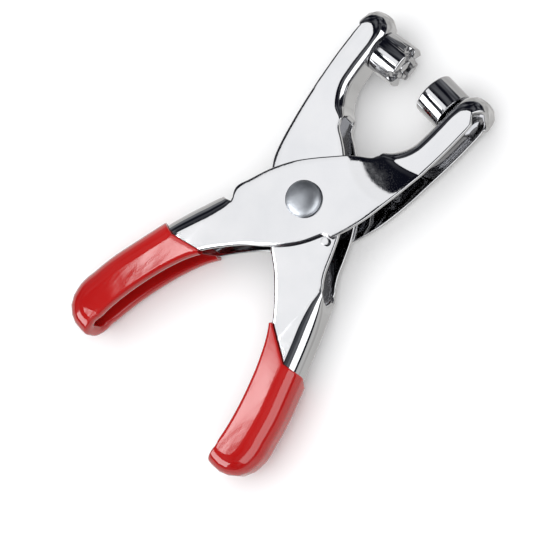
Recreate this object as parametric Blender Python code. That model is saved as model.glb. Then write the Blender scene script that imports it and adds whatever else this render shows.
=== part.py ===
"""Snap-fastener setting pliers: two pressed sheet-steel levers on a domed rivet, with two dies and dipped grips.

The tool lies on its back, with the pivot axis along Z and the jaws towards +Y. The origin is the centre of the
rivet's flat tail. Sizes are in millimetres, and MM turns them into metres.
"""

import math

import bmesh
import bpy
from mathutils import Matrix, Vector

MM = 0.001

# Sheet-steel levers
SHEET = 1.4  # thickness of the pressed sheet
INNER_HALF = 5.8  # half of the inner lever's outside width
RUNNING_GAP = 0.2  # between the inner lever's plates and the outer lever's
PIVOT_HALF = INNER_HALF + RUNNING_GAP + SHEET  # half of the outer lever's outside width at the rivet
OUTER_JAW_HALF = 6.2  # half of the outer lever's outside width at its jaw
SPLAY = 0.9  # how far the outer handle stands in, and the inner handle out, from their common outline
SPLAY_FROM = 8.0
SPLAY_OVER = 10.0
SEAT_GAP = 0.3  # between pieces that touch

# Turn of the two levers
OPEN_TURN = 8.0  # degrees from parallel dies to the opening stop
DIE_AXIS_Y = 43.8
HALF_DIE_GAP = 2.0  # from the middle plane to each die's face, with the dies parallel

# Pivot
SHANK_RADIUS = 2.5
HEAD_RADIUS = 5.05
HEAD_RIM = 0.5
HEAD_HEIGHT = 2.4
TAIL_RADIUS = 4.3
TAIL_HEIGHT = 1.0
TAIL_CHAMFER = 0.35
HOLE_RADIUS = SHANK_RADIUS + RUNNING_GAP
MIDDLE_Z = PIVOT_HALF + SEAT_GAP + TAIL_HEIGHT  # height of the tool's middle plane over the rivet's tail
BUSH_RADIUS = 3.6

# Return spring
WIRE_RADIUS = 0.6
COIL_RADIUS = 4.7
COIL_TURNS = 3
COIL_PITCH = 1.6
POINTS_PER_TURN = 20
LEG_REACH = 24.5  # how far below the pivot each leg meets its handle's web

# Stop pip on the inner lever's front plate
PIP_RADIUS = 1.1
PIP_HEIGHT = 1.2
PIP_CENTRE = (12.4, -3.63)  # in the outer lever's own outline, just under its stop shoulder

# Dies
DIE_RADIUS = 6.0
DIE_SHANK_RADIUS = 2.4
DIE_EDGE = 0.35
WEB_X = 10.6  # outer face of the jaw's web where the die sits
WASHER_RADIUS = 3.4
WASHER_THICK = 0.8
PEEN_RADIUS = 3.0
PEEN_HEIGHT = 1.1
CUP_RADIUS = 4.3
CUP_DEPTH = 0.8
CROWN_LOBES = 4
CROWN_DEPTH = 2.2
CROWN_WALL = 2.6
CROWN_NOTCH_RADIUS = 1.8
CROWN_NOTCH_DEPTH = 0.3
CENTRE_POST_RADIUS = 1.5
CENTRE_POST_SHORT = 0.5

# Dipped grips
COAT = 1.2
COAT_SEAT = 0.25  # clearance left between the coat and the steel inside it

# Mesh fineness
ROW_STEP = 3.4
PLATE_COLUMNS = 4
BEND_COLUMNS = 3
WEB_COLUMNS = 2
ROUND = 32
DOME_STEPS = 7
SQUARE = (0.0, 0.0)  # no skew and no lean

# Each row across a lever: the plate's edge on the web side, its free edge, how far the row sags between
# them, and the outer radius of the bend from plate to web. Rows run from the handle's end to the jaw's tip.
COMMON_ROWS = (
    ((-21.9, -66.6), (-21.4, -65.4), 0.0, 4.2),
    ((-24.2, -66.8), (-21.4, -64.6), 0.0, 4.2),
    ((-26.2, -65.8), (-21.35, -63.8), 0.0, 4.2),
    ((-26.9, -63.4), (-21.3, -62.6), 0.0, 4.3),
    ((-26.5, -58.0), (-20.9, -58.5), 0.0, 4.3),
    ((-25.5, -51.5), (-19.9, -52.5), 0.0, 4.3),
    ((-23.9, -45.0), (-18.5, -46.5), 0.0, 4.3),
    ((-22.2, -38.5), (-16.7, -40.5), 0.0, 4.3),
    ((-20.6, -32.5), (-14.3, -34.5), 0.0, 4.3),
    ((-18.9, -26.5), (-11.2, -29.3), 0.0, 4.2),
    ((-18.0, -21.0), (-7.4, -24.3), 0.0, 3.1),
    ((-17.9, -16.2), (-3.6, -20.0), 0.0, 1.3),
    ((-16.5, -12.0), (0.3, -16.6), 0.0, 2.6),
    ((-15.3, -7.2), (4.6, -12.6), 0.0, 2.6),
    ((-13.2, -1.3), (8.1, -8.1), 0.0, 2.6),
    ((-10.4, 4.0), (10.6, -2.9), 0.0, 2.6),
    ((-9.5, 5.4), (13.1, -1.8), 0.0, 2.6),
    ((-6.1, 9.7), (14.9, 3.4), 0.0, 2.4),
    ((-2.8, 13.4), (16.2, 8.6), 1.2, 2.3),
    ((0.0, 16.4), (17.0, 14.0), 2.4, 2.3),
    ((2.6, 18.5), (17.5, 18.2), 2.0, 2.3),
    ((5.0, 20.3), (17.8, 21.4), 1.4, 2.3),
    ((6.5, 22.4), (18.0, 24.2), 0.8, 1.3),
    ((9.8, 24.2), (18.2, 26.8), 0.3, 2.6),
    ((11.9, 27.1), (18.3, 29.4), 0.0, 2.8),
    ((13.1, 30.5), (18.4, 32.0), 0.0, 2.8),
    ((13.4, 34.5), (18.5, 35.0), 0.0, 2.8),
    ((13.4, 39.5), (18.5, 39.0), 0.0, 2.8),
    ((13.4, 44.0), (18.4, 41.5), 0.0, 2.8),
    ((14.3, 46.9), (18.3, 43.5), 0.0, 4.1),
    ((15.5, 47.8), (18.15, 44.6), 0.0, 4.4),
    ((16.5, 47.5), (18.0, 45.2), 0.0, 3.7),
    ((17.2, 46.9), (17.9, 45.5), 0.0, 2.6),
    ((17.7, 46.3), (17.86, 45.6), 0.0, 1.7),
    ((17.85, 45.7), (17.84, 45.65), 0.0, 1.3),
)
HANDLE_WEB_ROW = 11  # the web runs from the handle's end to here
JAW_WEB_ROW = 22  # and from here round the jaw's tip
STEP_ROWS = (15, 16)  # the stop shoulder's two corners on the outer lever's free edge
NO_STEP_SHARES = (0.42, 0.55)  # where those rows lie on the inner lever, which has no shoulder
CREASE_ROW = 19  # where the outer lever's plates start to close in towards the jaw
JAW_WIDTH_ROW = 23
HANDLE_WIDTH_ROWS = (2, 8)  # between these the outer lever's handle narrows, under its grip
WIDER_BENDS = {9: 0.5, 10: 1.5, 11: 2.3}  # how much larger the outer lever's bend is near its web's end
WEB_END_MOVES = {11: (0.15, 0.9), 12: (-0.4, 0.5)}  # x and y moves of its edge round the web's end
NOTCH_DEPTH = {"handle": 4.2, "jaw": 1.4}
NOTCH_FADE = 8.0
TIP_ROW = 28  # past here the jaw's tip is cut back
TIP_CUTS = {"outer": (1.9, 0.0), "inner": (0.0, 1.6)}  # by how much at its front plate, and at its rear one
GRIP_ROWS = {"outer": (7.9, 8.75), "inner": (7.15, 8.65)}  # where each coat starts: web side, free edge
GRIP_LEAN = 5.0  # how much lower the coat starts on the rear plate's web side than on the front's
GRIP_SKEW_FROM_ROW = 4


def smoothstep(value):
    held = min(1.0, max(0.0, value))
    return held * held * (3.0 - 2.0 * held)


def lever_rows(outer):
    """The common outline with one lever's splay, width and stop shoulder, as flat rows of numbers."""
    side = 1.0 if outer else -1.0
    rows = []
    for index, (edge, free, sag, radius) in enumerate(COMMON_ROWS):
        row = []
        for x, y in (edge, free):
            row += [x + side * SPLAY * smoothstep((-y - SPLAY_FROM) / SPLAY_OVER), y]
        rows.append(row + [sag, radius, half_width(index) if outer else INNER_HALF])
    if outer:
        for index, wider in WIDER_BENDS.items():
            rows[index][0] += wider
            rows[index][5] += wider
        for index, (right, up) in WEB_END_MOVES.items():
            rows[index][0] += right
            rows[index][1] += up
    else:
        first, second = STEP_ROWS
        below, above = rows[first - 1], rows[second + 1]
        for index, share in zip((first, second), NO_STEP_SHARES):
            for column in (2, 3):
                rows[index][column] = below[column] + share * (above[column] - below[column])
    return rows


def half_width(index):
    """Half of the outer lever's outside width at a row: widest at the rivet, closing in on both sides of it."""
    if index <= HANDLE_WEB_ROW:
        low, high = HANDLE_WIDTH_ROWS
        share = (index - low) / (high - low)
        return INNER_HALF + (PIVOT_HALF - INNER_HALF) * min(1.0, max(0.0, share))
    share = (index - CREASE_ROW) / (JAW_WIDTH_ROW - CREASE_ROW)
    return PIVOT_HALF + (OUTER_JAW_HALF - PIVOT_HALF) * min(1.0, max(0.0, share))


class Outline:
    """A lever's rows as smooth curves along its length, which is measured in millimetres from row 0."""

    SHARP = (2, 3)  # columns of the free edge, which keep the stop shoulder's corners
    STRAIGHT = (6,)  # the width, whose creases stay sharp

    def __init__(self, outer):
        self.rows = lever_rows(outer)
        self.corners = STEP_ROWS if outer else ()
        self.tip_cuts = TIP_CUTS["outer" if outer else "inner"]
        self.grip_rows = GRIP_ROWS["outer" if outer else "inner"]
        self.at_row = [0.0]
        for one, two in zip(self.rows, self.rows[1:]):
            spans = [math.dist(one[k : k + 2], two[k : k + 2]) for k in (0, 2)]
            self.at_row.append(self.at_row[-1] + sum(spans) / 2)

    def length_at(self, row):
        """Distance along the lever at a row, which may be a fraction of the way to the next one."""
        low = int(row)
        high = min(low + 1, len(self.at_row) - 1)
        return self.at_row[low] + (row - low) * (self.at_row[high] - self.at_row[low])

    def slope(self, index, column, segment):
        """Rate of change at a row, as the curve in that segment sees it."""
        spans = []
        for one in (index - 1, index):
            if not 0 <= one < len(self.rows) - 1:
                continue
            if column in self.SHARP and index in self.corners and one != segment:
                continue
            length = self.at_row[one + 1] - self.at_row[one]
            change = self.rows[one + 1][column] - self.rows[one][column]
            spans.append((length, change / length))
        if len(spans) == 1:
            return spans[0][1]
        (before, rate_before), (after, rate_after) = spans
        return (rate_before * after + rate_after * before) / (before + after)

    def at(self, length):
        """The row of numbers at a distance along the lever. Beyond its ends the row carries on straight."""
        last = len(self.rows) - 2
        segment = next((i for i in range(last) if length < self.at_row[i + 1]), last)
        start = self.at_row[segment]
        span = self.at_row[segment + 1] - start
        u = (length - start) / span
        values = []
        for column, low in enumerate(self.rows[segment]):
            high = self.rows[segment + 1][column]
            if column in self.STRAIGHT:
                values.append(low + (high - low) * min(1.0, max(0.0, u)))
                continue
            rate_low = self.slope(segment, column, segment) * span
            rate_high = self.slope(segment + 1, column, segment) * span
            if u < 0.0:
                values.append(low + rate_low * u)
            elif u > 1.0:
                values.append(high + rate_high * (u - 1.0))
            else:
                swing = (1.0 - u) * rate_low - u * rate_high + (2.0 * u - 1.0) * (high - low)
                values.append(low + u * (high - low) + u * (1.0 - u) * swing)
        return values

    def edge_and_normal(self, length):
        """The web-side edge at a distance along the lever, and the way out of the lever there."""
        here = Vector(self.at(length)[:2])
        reach = 0.05
        ahead = Vector(self.at(length + reach)[:2]) - Vector(self.at(length - reach)[:2])
        return here, Vector((-ahead.y, ahead.x)).normalized()

    def tip_cut(self, length, across):
        """How far the jaw's tip is cut back at a distance across the channel: 0 at its front and 1 at its rear."""
        start = self.length_at(TIP_ROW)
        share = smoothstep((length - start) / (self.at_row[-1] - start))
        front, rear = self.tip_cuts
        return share * (front + (rear - front) * across)

    def stations(self, step, end_row=None):
        """Distances along the lever, on every row and evenly between rows, up to a row."""
        last = len(self.rows) - 1 if end_row is None else end_row
        found = []
        for index in range(int(math.ceil(last))):
            low = self.at_row[index]
            high = self.length_at(min(index + 1, last))
            count = max(1, round((high - low) / step))
            found += [low + (high - low) * k / count for k in range(count)]
        return found + [self.length_at(last)]


def web_angles(radius, half):
    """Across the bends and the web, from the front plate to the rear one: (angle round, height of the centre)."""
    turns = [(math.pi / 2 * k / BEND_COLUMNS, half - radius) for k in range(1, BEND_COLUMNS + 1)]
    flat = [
        (math.pi / 2, (half - radius) * (1.0 - 2.0 * k / WEB_COLUMNS)) for k in range(1, WEB_COLUMNS)
    ]
    return turns + flat + [(math.pi - angle, -height) for angle, height in reversed(turns)]


def channel(outline, stations, skews, thick, lip=0.0, web_gap=True):
    """A pressed channel as (points, faces): plates, bends and web round one middle surface, made thick.

    skews holds two distances for each station: how much further along its free edge lies than its web side,
    and how much further back the web side lies on the rear plate. lip carries the plates past their free
    edges. web_gap leaves the web out between its two ends, with its end edges notched.
    """
    gap = (outline.length_at(HANDLE_WEB_ROW), outline.length_at(JAW_WEB_ROW))
    web_count = 2 * BEND_COLUMNS + WEB_COLUMNS - 1
    middle = []
    index_of = {}

    def put(key, point, normal):
        index_of[key] = len(middle)
        middle.append((point, normal))

    for j, (length, (skew, lean)) in enumerate(zip(stations, skews)):
        web_length = length - skew / 2
        half = outline.at(length)[6]
        for plate, side in enumerate((1.0, -1.0)):
            cut = outline.tip_cut(length, plate)
            row = outline.at(web_length - lean * plate - cut)
            edge = Vector(row[:2])
            free = Vector(outline.at(length + skew / 2 - cut)[2:4])
            free += (free - edge).normalized() * lip
            normal = Vector((0.0, 0.0, side))
            for k in range(PLATE_COLUMNS + 1):
                u = k / PLATE_COLUMNS
                flat = edge.lerp(free, u)
                flat.y -= row[4] * 4.0 * u * (1.0 - u)
                put((j, plate, k), Vector((*flat, side * (half - SHEET / 2))), normal)
        if web_gap and gap[0] + 1e-6 < length < gap[1] - 1e-6:
            continue
        for k in range(web_count):
            across = (k + 1) / (web_count + 1)
            inwards = 1.0 - abs(2.0 * across - 1.0)
            moved = web_length - lean * across - outline.tip_cut(length, across)
            if web_gap and length <= gap[0] + 1e-6:
                moved -= NOTCH_DEPTH["handle"] * inwards * max(0.0, 1.0 - (gap[0] - length) / NOTCH_FADE)
            elif web_gap:
                moved += NOTCH_DEPTH["jaw"] * inwards * max(0.0, 1.0 - (length - gap[1]) / NOTCH_FADE)
            row = outline.at(moved)
            angle, height = web_angles(row[5], row[6])[k]
            corner, out = outline.edge_and_normal(moved)
            normal = Vector((*(out * math.sin(angle)), math.cos(angle)))
            centre = Vector((*corner, height))
            put((j, 2, k), centre + normal * (row[5] - SHEET / 2), normal)

    def across_row(j):
        """The keys of a station from the front free edge to the rear one, with None where the web is missing."""
        keys = [(j, 0, k) for k in range(PLATE_COLUMNS, -1, -1)]
        keys += [(j, 2, k) for k in range(web_count)]
        keys += [(j, 1, k) for k in range(PLATE_COLUMNS + 1)]
        return [index_of.get(key) for key in keys]

    quads = []
    for j in range(len(stations) - 1):
        here, there = across_row(j), across_row(j + 1)
        for k in range(len(here) - 1):
            quad = (here[k], here[k + 1], there[k + 1], there[k])
            if None not in quad:
                quads.append(quad)
    return thickened(middle, quads, thick)


def thickened(middle, quads, thick):
    """A closed solid of that thickness round a middle surface of (point, normal)."""
    count = len(middle)
    points = [point + normal * thick / 2 for point, normal in middle]
    points += [point - normal * thick / 2 for point, normal in middle]
    sides = {(quad[k], quad[(k + 1) % 4]) for quad in quads for k in range(4)}
    faces = list(quads)
    faces += [tuple(i + count for i in reversed(quad)) for quad in quads]
    for a, b in sorted(sides):
        if (b, a) not in sides:
            faces.append((b, a, a + count, b + count))
    return points, faces


def turned(profile, hole=False):
    """A solid of revolution about Z as (points, faces) from (radius, height) pairs, listed upwards."""
    points = []
    faces = []
    for radius, height in profile:
        for k in range(ROUND):
            angle = 2.0 * math.pi * k / ROUND
            points.append(Vector((radius * math.cos(angle), radius * math.sin(angle), height)))
    rings = len(profile)
    for ring in range(rings if hole else rings - 1):
        above = (ring + 1) % rings
        for k in range(ROUND):
            ahead = (k + 1) % ROUND
            faces.append(
                (ring * ROUND + k, ring * ROUND + ahead, above * ROUND + ahead, above * ROUND + k)
            )
    if not hole:
        faces.append(tuple(range(ROUND)))
        faces.append(tuple((rings - 1) * ROUND + k for k in range(ROUND)))
    return points, faces


def material(name, colour, roughness, metallic):
    made = bpy.data.materials.new(name)
    made.use_nodes = True
    shader = made.node_tree.nodes["Principled BSDF"]
    shader.inputs["Base Color"].default_value = (*colour, 1.0)
    shader.inputs["Roughness"].default_value = roughness
    shader.inputs["Metallic"].default_value = metallic
    return made


def solid(name, shape, finish=None, parent=None, mirrored=False, placed=None, smooth=30.0):
    """An object from (points, faces) in millimetres, turned outwards. mirrored swaps +X and -X."""
    points, faces = shape
    mesh = bpy.data.meshes.new(name)
    place = placed or Matrix()
    if mirrored:
        place = Matrix.Scale(-1.0, 4, (1.0, 0.0, 0.0)) @ place
    mesh.from_pydata([tuple(place @ point * MM) for point in points], [], faces)
    build = bmesh.new()
    build.from_mesh(mesh)
    bmesh.ops.recalc_face_normals(build, faces=build.faces)
    build.to_mesh(mesh)
    build.free()
    mesh.shade_smooth()
    mesh.set_sharp_from_angle(angle=math.radians(smooth))
    made = bpy.data.objects.new(name, mesh)
    bpy.context.scene.collection.objects.link(made)
    made.parent = parent
    if finish:
        mesh.materials.append(finish)
    return made


def helper(name, shape, parent=None, mirrored=False, placed=None):
    """A cutter or a joined-on shape: never a piece of its own."""
    made = solid(name, shape, None, parent, mirrored, placed)
    made.hide_render = True
    made.display_type = "WIRE"
    return made


def boolean(target, other, operation):
    modifier = target.modifiers.new(other.name, "BOOLEAN")
    modifier.operation = operation
    modifier.solver = "EXACT"
    modifier.object = other


def rod(radius, low, high):
    return turned(((radius, low), (radius, high)))


def arm(name, degrees):
    """An empty on the pivot axis, at the tool's middle plane, that one lever and its pieces hang on."""
    made = bpy.data.objects.new(name, None)
    bpy.context.scene.collection.objects.link(made)
    made.location = (0.0, 0.0, MIDDLE_Z * MM)
    made.rotation_euler = (0.0, 0.0, math.radians(degrees))
    return made


def along_x(x, y=DIE_AXIS_Y):
    """Puts a turned shape's Z axis along +X, starting at x."""
    return Matrix.Translation((x, y, 0.0)) @ Matrix.Rotation(math.pi / 2, 4, "Y")


def make_lever(name, outline, finish, parent, mirrored):
    stations = outline.stations(ROW_STEP)
    shape = channel(outline, stations, [SQUARE] * len(stations), SHEET)
    lever = solid(name, shape, finish, parent, mirrored)
    pivot_hole = rod(HOLE_RADIUS, -2.0 * PIVOT_HALF, 2.0 * PIVOT_HALF)
    boolean(lever, helper(name + "_pivot_hole", pivot_hole, parent), "DIFFERENCE")
    die_hole = rod(DIE_SHANK_RADIUS + RUNNING_GAP, 0.0, 3.0 * SHEET)
    placed = along_x(WEB_X - SHEET)
    boolean(lever, helper(name + "_die_hole", die_hole, parent, mirrored, placed), "DIFFERENCE")
    return lever


def make_pip(lever, parent):
    """The half-sheared pip that meets the outer lever's shoulder when the tool is fully open."""
    root_z = INNER_HALF - SHEET / 2
    centre = Matrix.Rotation(math.radians(-OPEN_TURN), 3, "Z") @ Vector((*PIP_CENTRE, root_z))
    shape = rod(PIP_RADIUS, 0.0, SHEET / 2 + PIP_HEIGHT)
    pip = helper(lever.name + "_pip", shape, parent, placed=Matrix.Translation(centre))
    boolean(lever, pip, "UNION")


def make_grip(name, outline, finish, parent, mirrored):
    """The dipped coat: a thicker channel over the handle, hollow where the steel goes in."""
    start_web, start_free = (outline.length_at(row) for row in outline.grip_rows)
    skew_from = outline.length_at(GRIP_SKEW_FROM_ROW)
    top = (start_web + start_free) / 2
    stations = [length for length in outline.stations(ROW_STEP) if length < top - ROW_STEP / 2]
    stations = [stations[0] - COAT] + stations + [top]
    shares = [smoothstep((length - skew_from) / (top - skew_from)) for length in stations]
    skews = [((start_free - start_web) * share, GRIP_LEAN * share) for share in shares]
    coat = channel(outline, stations, skews, SHEET + 2.0 * COAT, lip=COAT, web_gap=False)
    grip = solid(name, coat, finish, parent, mirrored)
    inside = outline.stations(ROW_STEP, end_row=HANDLE_WEB_ROW)
    inside[0] -= COAT_SEAT
    thick = SHEET + 2.0 * COAT_SEAT
    steel = channel(outline, inside, [SQUARE] * len(inside), thick, lip=COAT_SEAT, web_gap=False)
    boolean(grip, helper(name + "_steel_room", steel, parent, mirrored), "DIFFERENCE")
    return grip


def make_rivet(finish, parent):
    tail_top = -PIVOT_HALF - SEAT_GAP
    head_base = PIVOT_HALF + SEAT_GAP
    tail_low = tail_top - TAIL_HEIGHT
    dome = HEAD_HEIGHT - HEAD_RIM
    profile = [
        (TAIL_RADIUS - TAIL_CHAMFER, tail_low),
        (TAIL_RADIUS, tail_low + TAIL_CHAMFER),
        (TAIL_RADIUS, tail_top),
        (SHANK_RADIUS, tail_top),
        (SHANK_RADIUS, head_base),
        (HEAD_RADIUS, head_base),
    ]
    for k in range(DOME_STEPS):
        angle = math.pi / 2 * k / DOME_STEPS
        profile.append((HEAD_RADIUS * math.cos(angle), head_base + HEAD_RIM + dome * math.sin(angle)))
    return solid("pivot_rivet", turned(profile), finish, parent)


def make_bush(finish, parent):
    half = INNER_HALF - SHEET - SEAT_GAP
    profile = [
        (HOLE_RADIUS, -half),
        (BUSH_RADIUS, -half),
        (BUSH_RADIUS, half),
        (HOLE_RADIUS, half),
    ]
    return solid("pivot_bush", turned(profile, hole=True), finish, parent)


def leg_end(outline, side):
    """Where a spring leg meets the inside of its handle's web, in the tool's own frame."""
    low, high = outline.length_at(outline.grip_rows[0]), outline.length_at(HANDLE_WEB_ROW)
    for _ in range(40):
        middle = (low + high) / 2
        corner, out = outline.edge_and_normal(middle)
        low, high = (middle, high) if corner.y < -LEG_REACH else (low, middle)
    radius = outline.at(low)[5]
    point = corner + out * (radius - SHEET - WIRE_RADIUS - SEAT_GAP)
    turn = Matrix.Rotation(math.radians(-side * OPEN_TURN / 2), 2)
    return turn @ Vector((side * point.x, point.y))


def make_spring(finish, outlines):
    """A torsion coil round the bush, with a leg out to the web of each handle. It lies in the tool's frame."""
    ends = [leg_end(outlines[0], 1.0), leg_end(outlines[1], -1.0)]
    tangents = []
    for end, sense in zip(ends, (1.0, -1.0)):
        bearing = math.atan2(end.y, end.x)
        tangents.append(bearing + sense * math.acos(COIL_RADIUS / end.length))
    start, finish_angle = tangents
    sweep = finish_angle - start
    while sweep > 0.0:
        sweep -= 2.0 * math.pi
    sweep -= 2.0 * math.pi * COIL_TURNS
    turns = abs(sweep) / (2.0 * math.pi)
    steps = round(turns * POINTS_PER_TURN)
    height = turns * COIL_PITCH
    route = [(ends[0].x, ends[0].y, height / 2)]
    for k in range(steps + 1):
        share = k / steps
        angle = start + sweep * share
        level = height * (0.5 - share)
        route.append((COIL_RADIUS * math.cos(angle), COIL_RADIUS * math.sin(angle), level))
    route.append((ends[1].x, ends[1].y, -height / 2))
    curve = bpy.data.curves.new("return_spring", "CURVE")
    curve.dimensions = "3D"
    curve.bevel_depth = WIRE_RADIUS * MM
    curve.bevel_resolution = 1
    curve.use_fill_caps = True
    spline = curve.splines.new("POLY")
    spline.points.add(len(route) - 1)
    for point, (x, y, z) in zip(spline.points, route):
        point.co = (x * MM, y * MM, z * MM, 1.0)
    curve.materials.append(finish)
    made = bpy.data.objects.new("return_spring", curve)
    bpy.context.scene.collection.objects.link(made)
    made.location = (0.0, 0.0, MIDDLE_Z * MM)
    return made


def die_profile(front):
    """A die along its axis from the face at 0 to the peened tail, after the points of its front."""
    seat = WEB_X - SEAT_GAP - HALF_DIE_GAP
    inside = WEB_X + SHEET + 2.0 * SEAT_GAP + WASHER_THICK - HALF_DIE_GAP
    return front + [
        (DIE_RADIUS, seat),
        (DIE_SHANK_RADIUS, seat),
        (DIE_SHANK_RADIUS, inside),
        (PEEN_RADIUS, inside),
        (PEEN_RADIUS, inside + PEEN_HEIGHT / 2),
        (PEEN_RADIUS / 2, inside + PEEN_HEIGHT),
    ]


def make_anvil_die(finish, parent):
    front = [
        (CUP_RADIUS / 2, CUP_DEPTH),
        (CUP_RADIUS, 0.0),
        (DIE_RADIUS - DIE_EDGE, 0.0),
        (DIE_RADIUS, DIE_EDGE),
    ]
    shape = turned(die_profile(front))
    return solid("anvil_die", shape, finish, parent, placed=along_x(HALF_DIE_GAP))


def make_crown_die(finish, parent):
    """The slotted die: a ring cut into rounded lobes round a centre post."""
    front = [
        (CENTRE_POST_RADIUS, CENTRE_POST_SHORT),
        (CENTRE_POST_RADIUS, CROWN_DEPTH),
        (DIE_RADIUS - CROWN_WALL, CROWN_DEPTH),
        (DIE_RADIUS - CROWN_WALL, 0.0),
        (DIE_RADIUS - DIE_EDGE, 0.0),
        (DIE_RADIUS, DIE_EDGE),
    ]
    placed = along_x(HALF_DIE_GAP)
    die = solid("crown_die", turned(die_profile(front)), finish, parent, True, placed)
    reach = DIE_RADIUS - CROWN_WALL / 2
    for k in range(CROWN_LOBES):
        around = Matrix.Rotation(math.pi * (2 * k + 1) / CROWN_LOBES, 4, "Z")
        radial = Matrix.Translation((reach, 0.0, CROWN_NOTCH_DEPTH)) @ Matrix.Rotation(math.pi / 2, 4, "Y")
        notch = rod(CROWN_NOTCH_RADIUS, -CROWN_WALL, CROWN_WALL)
        cutter = helper(f"crown_notch_{k}", notch, parent, True, placed @ around @ radial)
        boolean(die, cutter, "DIFFERENCE")
    return die


def make_die_washer(name, finish, parent, mirrored):
    low = WEB_X + SHEET + SEAT_GAP
    hole = DIE_SHANK_RADIUS + RUNNING_GAP
    profile = [(hole, 0.0), (WASHER_RADIUS, 0.0), (WASHER_RADIUS, WASHER_THICK), (hole, WASHER_THICK)]
    return solid(name, turned(profile, hole=True), finish, parent, mirrored, along_x(low))


def main():
    for old in list(bpy.data.objects):
        bpy.data.objects.remove(old, do_unlink=True)
    chrome = material("bright_chrome_plate", (0.86, 0.87, 0.9), 0.06, 1.0)
    die_chrome = material("die_chrome", (0.8, 0.81, 0.84), 0.09, 1.0)
    satin = material("satin_rivet_steel", (0.56, 0.58, 0.62), 0.34, 1.0)
    spring_steel = material("spring_steel", (0.3, 0.31, 0.34), 0.35, 1.0)
    red_vinyl = material("red_dipped_vinyl", (0.72, 0.01, 0.02), 0.16, 0.0)

    outer = arm("outer_arm_axis", -OPEN_TURN / 2)
    inner = arm("inner_arm_axis", OPEN_TURN / 2)
    outlines = (Outline(True), Outline(False))

    make_lever("outer_lever", outlines[0], chrome, outer, False)
    make_pip(make_lever("inner_lever", outlines[1], chrome, inner, True), inner)
    make_grip("outer_grip", outlines[0], red_vinyl, outer, False)
    make_grip("inner_grip", outlines[1], red_vinyl, inner, True)
    make_rivet(satin, outer)
    make_bush(spring_steel, outer)
    make_spring(spring_steel, outlines)
    make_anvil_die(die_chrome, outer)
    make_crown_die(die_chrome, inner)
    make_die_washer("anvil_die_washer", die_chrome, outer, False)
    make_die_washer("crown_die_washer", die_chrome, inner, True)


main()
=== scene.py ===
"""Snap-fastener setting pliers, fully open and lying on their back.

These are the finer pieces, their materials, the light and the camera. Shapes are in millimetres,
and MM turns them into metres. The pivot axis is Z, and the jaws point to +Y.
"""

import math

import bmesh
import bpy
from mathutils import Matrix, Vector

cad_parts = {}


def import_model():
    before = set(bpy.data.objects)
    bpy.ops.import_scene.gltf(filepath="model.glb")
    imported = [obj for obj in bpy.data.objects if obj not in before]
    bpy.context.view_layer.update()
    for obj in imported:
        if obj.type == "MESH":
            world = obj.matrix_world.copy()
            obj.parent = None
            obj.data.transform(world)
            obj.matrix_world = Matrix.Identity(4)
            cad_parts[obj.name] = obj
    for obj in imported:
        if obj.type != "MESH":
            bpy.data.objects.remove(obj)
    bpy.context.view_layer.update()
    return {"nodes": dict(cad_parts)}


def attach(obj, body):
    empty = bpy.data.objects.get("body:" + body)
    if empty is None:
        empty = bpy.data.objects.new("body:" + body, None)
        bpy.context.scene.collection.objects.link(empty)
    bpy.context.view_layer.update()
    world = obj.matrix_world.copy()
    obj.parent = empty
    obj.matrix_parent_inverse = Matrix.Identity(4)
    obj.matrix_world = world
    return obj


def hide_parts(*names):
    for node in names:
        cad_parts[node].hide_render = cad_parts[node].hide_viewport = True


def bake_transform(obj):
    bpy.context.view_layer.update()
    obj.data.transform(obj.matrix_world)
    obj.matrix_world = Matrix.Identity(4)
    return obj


MM = 0.001

# Sheet-steel levers
SHEET = 1.4  # thickness of the pressed sheet
INNER_HALF = 5.8  # half of the inner lever's outside width
RUNNING_GAP = 0.2  # between the inner lever's plates and the outer lever's
PIVOT_HALF = INNER_HALF + RUNNING_GAP + SHEET  # half of the outer lever's width at the rivet
OUTER_JAW_HALF = 6.2  # half of the outer lever's width at its jaw
SPLAY = 0.9  # how far the outer handle lies inside, and the inner one outside, the common outline
SPLAY_FROM = 8.0  # below the pivot
SPLAY_OVER = 10.0
SEAT_GAP = 0.3  # between pieces that touch

# Turn of the two levers
OPEN_TURN = 8.0  # degrees from parallel dies to the opening stop
DIE_AXIS_Y = 43.8
HALF_DIE_GAP = 2.0  # from the middle plane to each die's face, with the dies parallel

# Pivot
SHANK_RADIUS = 2.5
HEAD_RADIUS = 5.05
HEAD_RIM = 0.5
HEAD_HEIGHT = 2.4
TAIL_RADIUS = 4.3
TAIL_HEIGHT = 1.0
TAIL_CHAMFER = 0.35
HOLE_RADIUS = SHANK_RADIUS + RUNNING_GAP
MIDDLE_Z = PIVOT_HALF + SEAT_GAP + TAIL_HEIGHT  # the tool's middle plane, over the rivet's tail

# Return spring
WIRE_RADIUS = 0.6
COIL_RADIUS = 4.7
COIL_TURNS = 3
COIL_PITCH = 1.6
LEG_REACH = 24.5  # how far below the pivot each leg meets its handle's web

# Stop pip on the inner lever's front plate
PIP_RADIUS = 1.1
PIP_HEIGHT = 1.2
PIP_CENTRE = (12.4, -3.63)  # in the outer lever's own outline, just under its stop shoulder

# Dies
DIE_RADIUS = 6.0
DIE_SHANK_RADIUS = 2.4
DIE_EDGE = 0.35
WEB_X = 10.6  # outer face of the jaw's web where the die sits
WASHER_THICK = 0.8
PEEN_RADIUS = 3.0
PEEN_HEIGHT = 1.1
CUP_RADIUS = 4.3
CUP_DEPTH = 0.8
CROWN_LOBES = 4
CROWN_DEPTH = 2.2
CROWN_WALL = 2.6
CROWN_NOTCH_RADIUS = 1.8
CROWN_NOTCH_DEPTH = 0.3
CENTRE_POST_RADIUS = 1.5
CENTRE_POST_SHORT = 0.5

# Dipped grips
COAT = 1.2
COAT_SEAT = 0.25  # clearance left between the coat and the steel inside it

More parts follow.
